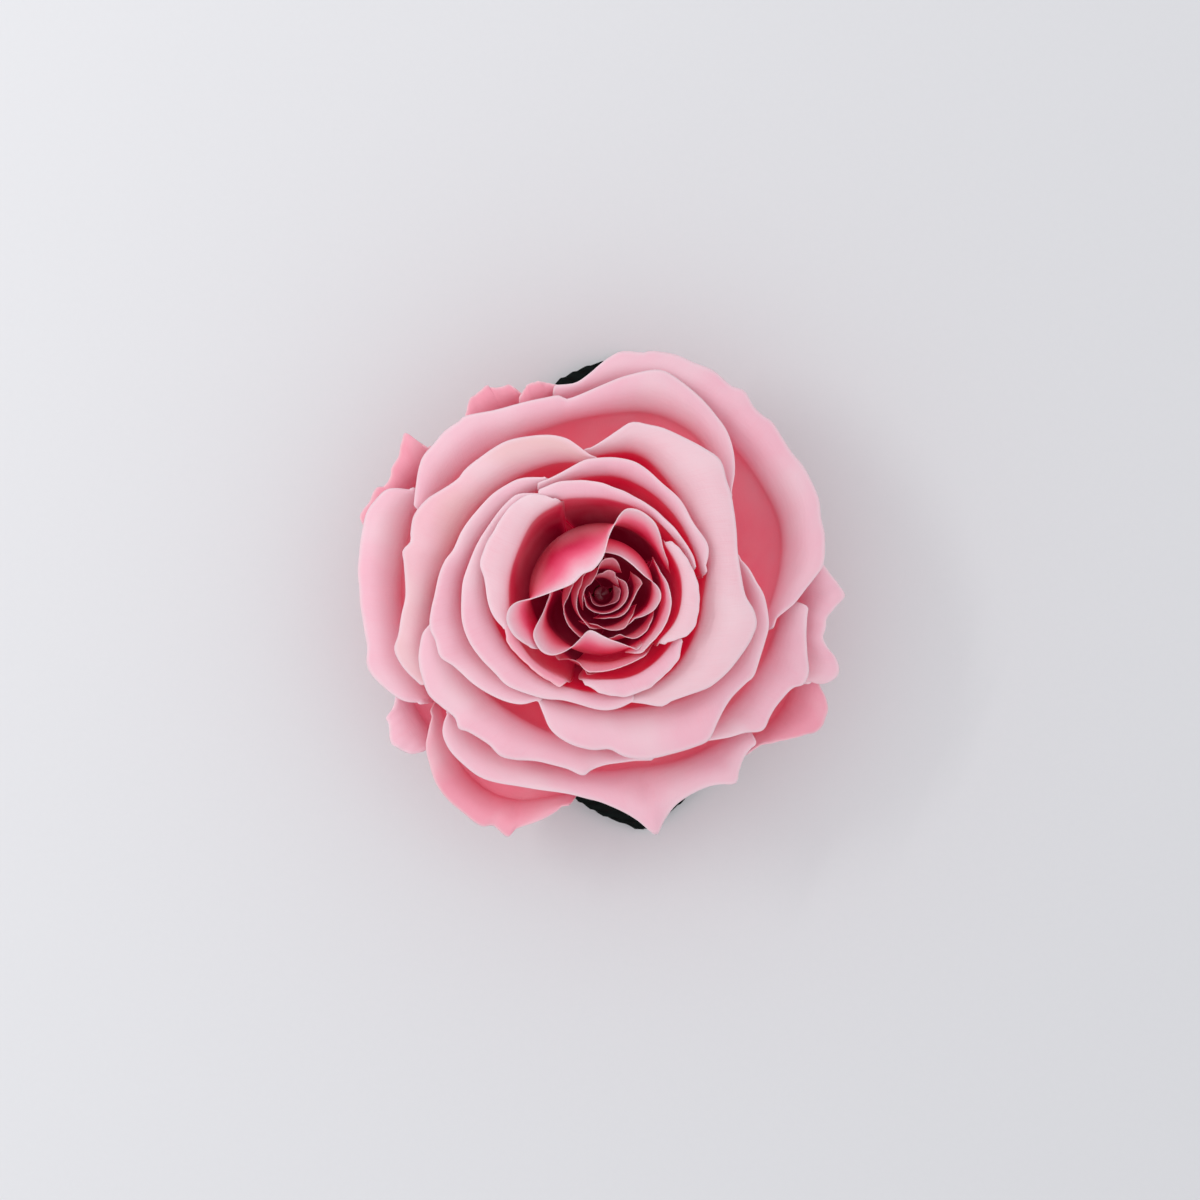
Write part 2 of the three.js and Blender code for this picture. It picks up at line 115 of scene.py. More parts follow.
def smooth_through(points, count):
    """Catmull-Rom curve through given points, sampled evenly by length."""
    points = np.array(points, float)
    padded = np.vstack([2 * points[0] - points[1], points, 2 * points[-1] - points[-2]])
    fine = []
    for i in range(len(points) - 1):
        p0, p1, p2, p3 = padded[i:i + 4]
        for step in range(CURVE_STEPS):
            t = step / CURVE_STEPS
            fine.append(0.5 * (2 * p1 + (p2 - p0) * t + (2 * p0 - 5 * p1 + 4 * p2 - p3) * t * t
                               + (3 * p1 - p0 - 3 * p2 + p3) * t ** 3))
    fine.append(points[-1])
    fine = np.array(fine)
    run = np.concatenate([[0], np.cumsum(np.hypot(*(fine[1:, :2] - fine[:-1, :2]).T))])
    at = np.linspace(0, run[-1], count)
    return np.stack([np.interp(at, run, fine[:, k]) for k in range(fine.shape[1])], axis=1)


def smooth_list(pairs, angles):
    """Read an [angle, value] list with softened corners."""
    known = np.array(pairs, float)
    total = 0
    for offset in LIST_SOFTENING:
        total = total + np.interp(np.asarray(angles) + offset, known[:, 0], known[:, 1])
    return total / len(LIST_SOFTENING)


def ripple(rng, count, waves, strength):
    """Smooth random wobble across a petal."""
    u = np.linspace(0, 1, count)
    total = np.zeros(count)
    for wave in waves:
        total += rng.uniform(0.4, 1) * np.sin(2 * math.pi * (wave * u + rng.random()))
    return strength * total / len(waves)


def open_side(kind, s, crest, radius):
    """One row of an open petal: bowl, round turn, slope up to the highest line, lip down to the rim."""
    reach = np.maximum(LEAST_REACH, radius - crest)
    peak = np.minimum(PEAK_SHARE * reach, PEAK_MOST)
    dip = 0.5 * INNER_SLOPE * peak
    bend = crest_round(crest)
    height = crest_height(crest)
    tilt = math.atan(INNER_SLOPE)
    centre_r = crest + bend * math.sin(tilt)
    centre_z = height - dip - bend * math.cos(tilt)
    if kind == "bowl":
        return bowl_point(crest, centre_r - bend, centre_z, s)
    if kind == "turn":
        angle = math.pi / 2 + (tilt - math.pi / 2) * s
        return centre_r - bend * math.sin(angle), centre_z + bend * math.cos(angle)
    d = reach * s
    before = height - dip * (1 - d / peak) ** 2
    past = np.maximum(0, d - peak)
    after = height - lip_slope(crest) * (np.hypot(past, LIP_BEND) - LIP_BEND)
    after = after - RIM_CURL * (past / (reach - peak)) ** 3
    return crest + d, np.where(d < peak, before, after)


def heart_side(kind, s, belly, radius, height):
    """One row of a heart petal: bowl up to its widest height, then a lean in or out to the rim."""
    if kind == "bowl":
        return bowl_point(belly, belly, CRADLE_Z, s)
    return belly + (radius - belly) * s * s, CRADLE_Z + (height - CRADLE_Z) * s


def row_list(heart):
    rows = [("bowl", s) for s in np.linspace(0, 1, BOWL_ROWS)]
    if heart:
        return rows + [("lean", s) for s in np.linspace(0, 1, LEAN_ROWS + 1)[1:]]
    rows += [("turn", s) for s in np.linspace(0, 1, TURN_ROWS + 1)[1:]]
    return rows + [("lip", s) for s in np.linspace(0, 1, LIP_ROWS + 1)[1:]]


def petal_grid(name, pairs, rim, heart):
    """Grid of points for one petal, in mm: columns go round the rim, rows go from the claw to the rim."""
    rng = random.Random(name)
    line = smooth_through(rim, COLUMNS)
    angle = np.unwrap(np.arctan2(line[:, 1], line[:, 0]))
    if angle[0] < 0:
        angle = angle + 2 * math.pi
    angle = np.degrees(angle)
    angle = np.maximum.accumulate(angle + np.linspace(0, 1e-4, COLUMNS))
    radius = np.hypot(line[:, 0], line[:, 1])
    height = line[:, 2] if heart else 0 * radius
    wobble = HEART_WOBBLE_SHARE if heart else 1.0
    spread = HEART_END_SPREAD if heart else OPEN_END_SPREAD
    shorten = HEART_END_SHORTEN if heart else OPEN_END_SHORTEN
    radius = radius + wobble * ripple(rng, COLUMNS, RIM_WAVES, RIM_WOBBLE_MM)
    lift = wobble * ripple(rng, COLUMNS, LIFT_WAVES, LIFT_WOBBLE_MM)
    # fall is 0 over the petal and grows to 1 at the far edge of each end
    steps = np.linspace(0, 1, END_COLUMNS + 1)[1:]
    first = np.degrees(END_REACH_MM / max(END_LEAST_RADIUS, radius[0]))
    last = np.degrees(END_REACH_MM / max(END_LEAST_RADIUS, radius[-1]))
    angle = np.concatenate([angle[0] - first * steps[::-1], angle, angle[-1] + last * steps])
    fall = np.concatenate([steps[::-1], np.zeros(COLUMNS), steps])
    radius, height, lift = (np.pad(values, END_COLUMNS, mode="edge") for values in (radius, height, lift))
    middle = (angle[0] + angle[-1]) / 2
    rows = row_list(heart)
    grid = np.zeros((len(angle), len(rows), 3))
    for j, (kind, s) in enumerate(rows):
        widen = min(1.0, j / (BOWL_ROWS + 2))
        share = CLAW_WIDTH + (1 - CLAW_WIDTH) * widen * (2 - widen)
        here = middle + (angle - middle) * share
        crest = smooth_list(pairs, here) + spread * fall ** 2
        if heart:
            r, z = heart_side(kind, s, crest, radius, height)
        else:
            r, z = open_side(kind, s, crest, np.maximum(radius, crest + LEAST_REACH))
        z = z + lift * s ** 2 * (kind in ("lean", "lip"))
        turn = np.radians(here)
        grid[:, j] = np.stack([r * np.cos(turn), r * np.sin(turn), z], axis=1)
    for i in np.nonzero(fall)[0]:
        step = np.linalg.norm(np.diff(grid[i], axis=0), axis=1)
        run = np.concatenate([[0], np.cumsum(step)])
        keep = 1 - shorten * fall[i] ** 2
        grid[i] = np.stack([np.interp(run * keep, run, grid[i, :, k]) for k in range(3)], axis=1)
    return grid


def sheet_mesh(name, grid, half_thick):
    """Closed thin sheet: the grid offset by half_thick to each side and sewn round its edge."""
    columns, rows, _ = grid.shape
    across = np.gradient(grid, axis=0)
    along = np.gradient(grid, axis=1)
    normal = np.cross(across, along)
    normal /= np.maximum(1e-9, np.linalg.norm(normal, axis=2, keepdims=True))
    offset = normal * half_thick[..., None]
    front = (grid + offset).reshape(-1, 3)
    back = (grid - offset).reshape(-1, 3)
    count = columns * rows
    ids = np.arange(count).reshape(columns, rows)
    a, b, c, d = ids[:-1, :-1], ids[1:, :-1], ids[1:, 1:], ids[:-1, 1:]
    quads = [np.stack([a, b, c, d], -1).reshape(-1, 4), np.stack([a, d, c, b], -1).reshape(-1, 4) + count]

    def edge(first, second):
        return np.stack([first, first + count, second + count, second], -1)

    quads.append(edge(ids[:-1, 0], ids[1:, 0]))
    quads.append(edge(ids[1:, -1], ids[:-1, -1]))
    quads.append(edge(ids[0, 1:], ids[0, :-1]))
    quads.append(edge(ids[-1, :-1], ids[-1, 1:]))
    faces = np.concatenate(quads)
    points = np.concatenate([front, back])
    points[:, 0] += SHIFT_X
    points[:, 1] += SHIFT_Y
    mesh = bpy.data.meshes.new(name)
    mesh.from_pydata((points * MM).tolist(), [], faces.tolist())
    mesh.shade_smooth()
    return mesh


def lengths(grid):
    """Distances in mm: across from the middle, up from the claw, down from the rim, in from any edge."""
    step = np.linalg.norm(np.diff(grid, axis=1), axis=2)
    up = np.concatenate([np.zeros((grid.shape[0], 1)), np.cumsum(step, axis=1)], axis=1)
    side = np.linalg.norm(np.diff(grid, axis=0), axis=2)
    over = np.concatenate([np.zeros((1, grid.shape[1])), np.cumsum(side, axis=0)], axis=0)
    to_rim = up[:, -1:] - up
    to_side = np.minimum(over, over[-1:] - over)
    edge = np.minimum(to_rim, to_side)
    return over - over[-1:] / 2, up, to_rim, edge


def store(mesh, name, values):
    """Give each point of a mesh a number that its material reads."""
    attribute = mesh.attributes.new(name, "FLOAT", "POINT")
    attribute.data.foreach_set("value", values.astype(np.float32))


def store_sheet(mesh, name, values):
    """The same for a sheet, whose two sides hold the grid once each."""
    flat = values.reshape(-1)
    store(mesh, name, np.concatenate([flat, flat]))


def link(name, mesh):
    thing = bpy.data.objects.new(name, mesh)
    bpy.context.scene.collection.objects.link(thing)
    return thing


def place(node, mesh, material):
    """Put a finished mesh in the scene in place of one node of the frame."""
    mesh.materials.append(material)
    piece = link(node + "_look", mesh)
    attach(piece, "root")
    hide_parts(node)


def add_petal(node, pairs, rim, heart, material):
    grid = petal_grid(node, pairs, rim, heart)
    over, up, to_rim, edge = lengths(grid)
    taper = np.clip(to_rim / RIM_TAPER_MM, 0, 1)
    half = RIM_HALF_THICK + (PETAL_HALF_THICK - RIM_HALF_THICK) * taper
    mesh = sheet_mesh(node + "_look", grid, half)
    # depth_mm, the distance down from the crest or rim, sets the painted shade and painted glow in the petal
    # colour
    if heart:
        depth = to_rim
    else:
        crest_row = BOWL_ROWS + TURN_ROWS
        depth = np.maximum(0, up[:, crest_row:crest_row + 1] - up)
    for name, values in (("over_mm", over), ("up_mm", up), ("edge_mm", edge), ("depth_mm", depth)):
        store_sheet(mesh, name, values)
    place(node, mesh, material)


# ---------------------------------------------------------------- materials
class Nodes:
    """Small helper round one material's node tree."""

    def __init__(self, name):
        self.material = bpy.data.materials.new(name)
        self.material.use_nodes = True
        self.tree = self.material.node_tree
        self.tree.nodes.clear()

    def add(self, kind, **settings):
        node = self.tree.nodes.new(kind)
        for key, value in settings.items():
            setattr(node, key, value)
        return node

    def join(self, source, target):
        self.tree.links.new(source, target)

    def reading(self, name):
        return self.add("ShaderNodeAttribute", attribute_name=name).outputs["Fac"]

    def math(self, operation, first, second, clamp=False):
        node = self.add("ShaderNodeMath", operation=operation, use_clamp=clamp)
        for socket, value in zip(node.inputs, (first, second)):
            if isinstance(value, (int, float)):
                socket.default_value = value
            else:
                self.join(value, socket)
        return node.outputs[0]

    def mix(self, factor, first, second):
        node = self.add("ShaderNodeMix", data_type="RGBA")
        for socket, value in ((node.inputs[0], factor), (node.inputs[6], first), (node.inputs[7], second)):
            if isinstance(value, (int, float)):
                socket.default_value = value
            elif isinstance(value, tuple):
                socket.default_value = (*value, 1.0)
            else:
                self.join(value, socket)
        return node.outputs[2]

    def ramp(self, factor, stops):
        node = self.add("ShaderNodeValToRGB")
        node.color_ramp.interpolation = "B_SPLINE"
        elements = node.color_ramp.elements
        while len(elements) < len(stops):
            elements.new(0.5)
        for element, (at, colour) in zip(elements, stops):
            element.position = at
            element.color = (*colour, 1.0)
        self.join(factor, node.inputs[0])
        return node.outputs[0]

    def noise(self, x, y, scale, detail, offset):
        spot = self.add("ShaderNodeCombineXYZ")
        self.join(x, spot.inputs[0])
        self.join(y, spot.inputs[1])
        spot.inputs[2].default_value = offset
        node = self.add("ShaderNodeTexNoise")
        node.inputs["Scale"].default_value = scale
        node.inputs["Detail"].default_value = detail
        self.join(spot.outputs[0], node.inputs["Vector"])
        return node.outputs[0]

    def patchy(self, noise, level, strength, clamp=True):
        """How far noise stands above a level, times a strength."""
        return self.math("MULTIPLY", self.math("SUBTRACT", noise, level), strength, clamp=clamp)

    def bump(self, height, strength, distance):
        node = self.add("ShaderNodeBump")
        node.inputs["Strength"].default_value = strength
        node.inputs["Distance"].default_value = distance
        self.join(height, node.inputs["Height"])
        return node.outputs[0]

    def finish(self, surface):
        self.material.cycles.emission_sampling = "NONE"
        output = self.add("ShaderNodeOutputMaterial")
        self.join(surface, output.inputs["Surface"])
        return self.material


# Painted glow: emission standing in for light that soaks through stacked petals: crimson, strongest part way
# down, gone at the claws
PAINTED_GLOW = (0.20, 0.002, 0.016)
BLUSH = (0.94, 0.80, 0.84)
CREAM = (0.80, 0.58, 0.46)
THROUGH = (0.80, 0.06, 0.14)
PETAL_BUMP, PETAL_BUMP_DEPTH = 0.2, 0.0004
THROUGH_SHARE = 0.1
PLANT_BUMP, PLANT_BUMP_DEPTH = 0.4, 0.0005


def blend(first, second, share):
    return tuple(a + (b - a) * share for a, b in zip(first, second))


def scaled(colour, factor):
    return tuple(factor * part for part in colour)


def petal_material(name, pale, wall, deep_shade, edge_colour, edge_width, span, cream=0.0):
    """Pale lip, then painted shade: wall and deep shade colours by distance in from it, darker down into the
    bloom; span is the distance to the darkest.
    """
    n = Nodes(name)
    over = n.reading("over_mm")
    up = n.reading("up_mm")
    depth = n.math("DIVIDE", n.reading("depth_mm"), span)
    mottle = n.patchy(n.noise(over, up, 0.16, 3.0, 1.7), 0.5, 0.16, False)
    depth = n.math("ADD", depth, mottle, clamp=True)
    # Painted shade: colour runs from the pale lip through the wall colour to the deep shade colour and near
    # black, down into the bloom
    colour = n.ramp(depth, [(0.0, pale), (0.14, blend(pale, wall, 0.35)), (0.32, wall), (0.58, deep_shade),
                            (1.0, scaled(deep_shade, 0.35))])
    veins = n.noise(n.math("MULTIPLY", over, 3.4), n.math("MULTIPLY", up, 0.22), 1.0, 3.0, 5.1)
    colour = n.mix(n.patchy(veins, 0.5, 0.3), colour, wall)
    colour = n.mix(n.patchy(n.noise(over, up, 0.07, 2.0, 9.3), 0.45, 1.2), colour, BLUSH)
    if cream:
        colour = n.mix(n.patchy(n.noise(over, up, 0.05, 1.0, 3.3), 0.42, 4.0 * cream), colour, CREAM)
    rim = n.math("SUBTRACT", 1.0, n.math("DIVIDE", n.reading("edge_mm"), edge_width), clamp=True)
    rim = n.math("MULTIPLY", rim, rim)
    colour = n.mix(rim, colour, edge_colour)
    fine = n.noise(n.math("MULTIPLY", over, 5.0), n.math("MULTIPLY", up, 0.5), 1.0, 3.0, 2.2)
    wrinkle = n.noise(n.math("MULTIPLY", over, 0.5), n.math("MULTIPLY", up, 2.4), 1.0, 3.0, 7.4)
    relief = n.math("ADD", n.math("MULTIPLY", fine, 0.5), n.math("MULTIPLY", wrinkle, 0.5))
    shader = n.add("ShaderNodeBsdfPrincipled")
    n.join(colour, shader.inputs["Base Color"])
    n.join(n.bump(relief, PETAL_BUMP, PETAL_BUMP_DEPTH), shader.inputs["Normal"])
    n.join(n.math("ADD", 0.46, n.math("MULTIPLY", fine, 0.22)), shader.inputs["Roughness"])
    shader.inputs["Specular IOR Level"].default_value = 0.06
    # Painted glow: crimson emission by depth, standing in for light let through the petals above
    painted_glow = n.ramp(depth, [(0.0, scaled(PAINTED_GLOW, 0.05)), (0.1, scaled(PAINTED_GLOW, 0.2)), (0.3, scaled(PAINTED_GLOW, 0.75)),
                          (0.55, PAINTED_GLOW), (1.0, (0.02, 0.0, 0.002))])
    n.join(painted_glow, shader.inputs["Emission Color"])
    shader.inputs["Emission Strength"].default_value = 1.0
    through = n.add("ShaderNodeBsdfTranslucent")
    n.join(n.mix(0.75, colour, THROUGH), through.inputs["Color"])
    both = n.add("ShaderNodeMixShader")
    both.inputs[0].default_value = THROUGH_SHARE
    n.join(shader.outputs[0], both.inputs[1])
    n.join(through.outputs[0], both.inputs[2])
    return n.finish(both.outputs[0])


def plant_material(name, base, light, roughness, scale):
    """Leaf, sepal and stem colour: grain from base to light, a pale midrib, and side veins in relief."""
    n = Nodes(name)
    over = n.reading("over_mm")
    up = n.reading("up_mm")
    grain = n.noise(over, up, scale, 4.0, 0.5)
    side_veins = n.add("ShaderNodeTexWave", wave_type="BANDS", bands_direction="DIAGONAL")
    spot = n.add("ShaderNodeCombineXYZ")
    n.join(n.math("ABSOLUTE", over, 0.0), spot.inputs[0])
    n.join(n.math("MULTIPLY", up, -1.0), spot.inputs[1])
    n.join(spot.outputs[0], side_veins.inputs["Vector"])
    side_veins.inputs["Scale"].default_value = 0.12
    side_veins.inputs["Distortion"].default_value = 1.5
    midrib = n.math("SUBTRACT", 1.0, n.math("ABSOLUTE", n.math("MULTIPLY", over, 1.6), 0.0), clamp=True)
    colour = n.mix(n.math("MULTIPLY", grain, 0.7), base, light)
    colour = n.mix(n.math("MULTIPLY", midrib, 0.5), colour, light)
    relief = n.math("ADD", side_veins.outputs["Fac"], n.math("ADD", grain, midrib))
    shader = n.add("ShaderNodeBsdfPrincipled")
    n.join(colour, shader.inputs["Base Color"])
    n.join(n.bump(relief, PLANT_BUMP, PLANT_BUMP_DEPTH), shader.inputs["Normal"])
    n.join(n.math("ADD", roughness - 0.1, n.math("MULTIPLY", grain, 0.2)), shader.inputs["Roughness"])
    shader.inputs["Specular IOR Level"].default_value = 0.08
    return n.finish(shader.outputs[0])


# Petal colours: PALE is the lip's own pink; WALL, TIGHT_WALL and DEEP_SHADE are painted shade, redder and
# darker down the walls into the bloom (WALL is also the vein colour); the spans set how far in the painted
# shade reaches its darkest
PALE = (0.95, 0.57, 0.67)
WALL = (0.95, 0.30, 0.41)
TIGHT_WALL = (0.82, 0.08, 0.18)
DEEP_SHADE = (0.55, 0.004, 0.045)
EDGE = (0.96, 0.76, 0.82)
OUTER_SPAN = 60.0
MIDDLE_SPAN = 44.0
RING_SPAN = 24.0
FOLD_SPAN = 17.0
HEART_SPAN = 12.0
CORE_SPAN = 8.0
MATERIALS = {
    "outer": petal_material("petal outer", PALE, WALL, DEEP_SHADE, EDGE, 1.6, OUTER_SPAN),
    "middle": petal_material("petal middle", PALE, WALL, DEEP_SHADE, EDGE, 1.6, MIDDLE_SPAN),
    "pale": petal_material("petal ring", (0.94, 0.56, 0.66), TIGHT_WALL, DEEP_SHADE, EDGE, 1.6, RING_SPAN),
    "white": petal_material("petal whitish", (0.95, 0.66, 0.73), TIGHT_WALL, DEEP_SHADE, EDGE, 1.5, RING_SPAN),
    "cream": petal_material("petal cream", (0.94, 0.58, 0.65), WALL, DEEP_SHADE, EDGE, 1.6, MIDDLE_SPAN,
                            cream=0.5),
    # rosy: a redder pink, painted shade on the low and tucked petals that use it
    "rosy": petal_material("petal rosy", (0.95, 0.40, 0.50), (0.92, 0.28, 0.38), DEEP_SHADE,
                           (0.95, 0.68, 0.73), 1.2, OUTER_SPAN),
    # heart and core: dark to near-black colours, painted shade for the petals deep in the centre of the
    # bloom
    "heart": petal_material("petal heart", (0.84, 0.26, 0.36), (0.46, 0.008, 0.04), (0.10, 0.001, 0.006),
                            (0.95, 0.66, 0.71), 1.0, HEART_SPAN),
    "core": petal_material("petal core", (0.30, 0.03, 0.06), (0.10, 0.002, 0.01), (0.03, 0.001, 0.003),
                           (0.80, 0.38, 0.46), 0.8, CORE_SPAN),
    "fold": petal_material("petal fold", (0.96, 0.76, 0.84), (0.86, 0.12, 0.26), (0.40, 0.002, 0.025),
                           EDGE, 1.1, FOLD_SPAN),
}
# Leaf colour: the leaves' dark green darkened to near black, painted shade for the leaves lying under the
# bloom
DARK_SHADED_LEAF = plant_material("leaf", (0.003, 0.006, 0.006), (0.006, 0.010, 0.008), 0.7, 0.5)
SEPAL = plant_material("sepal", (0.08, 0.15, 0.04), (0.16, 0.24, 0.08), 0.6, 0.8)
STEM = plant_material("stem", (0.10, 0.20, 0.05), (0.20, 0.30, 0.10), 0.5, 0.8)


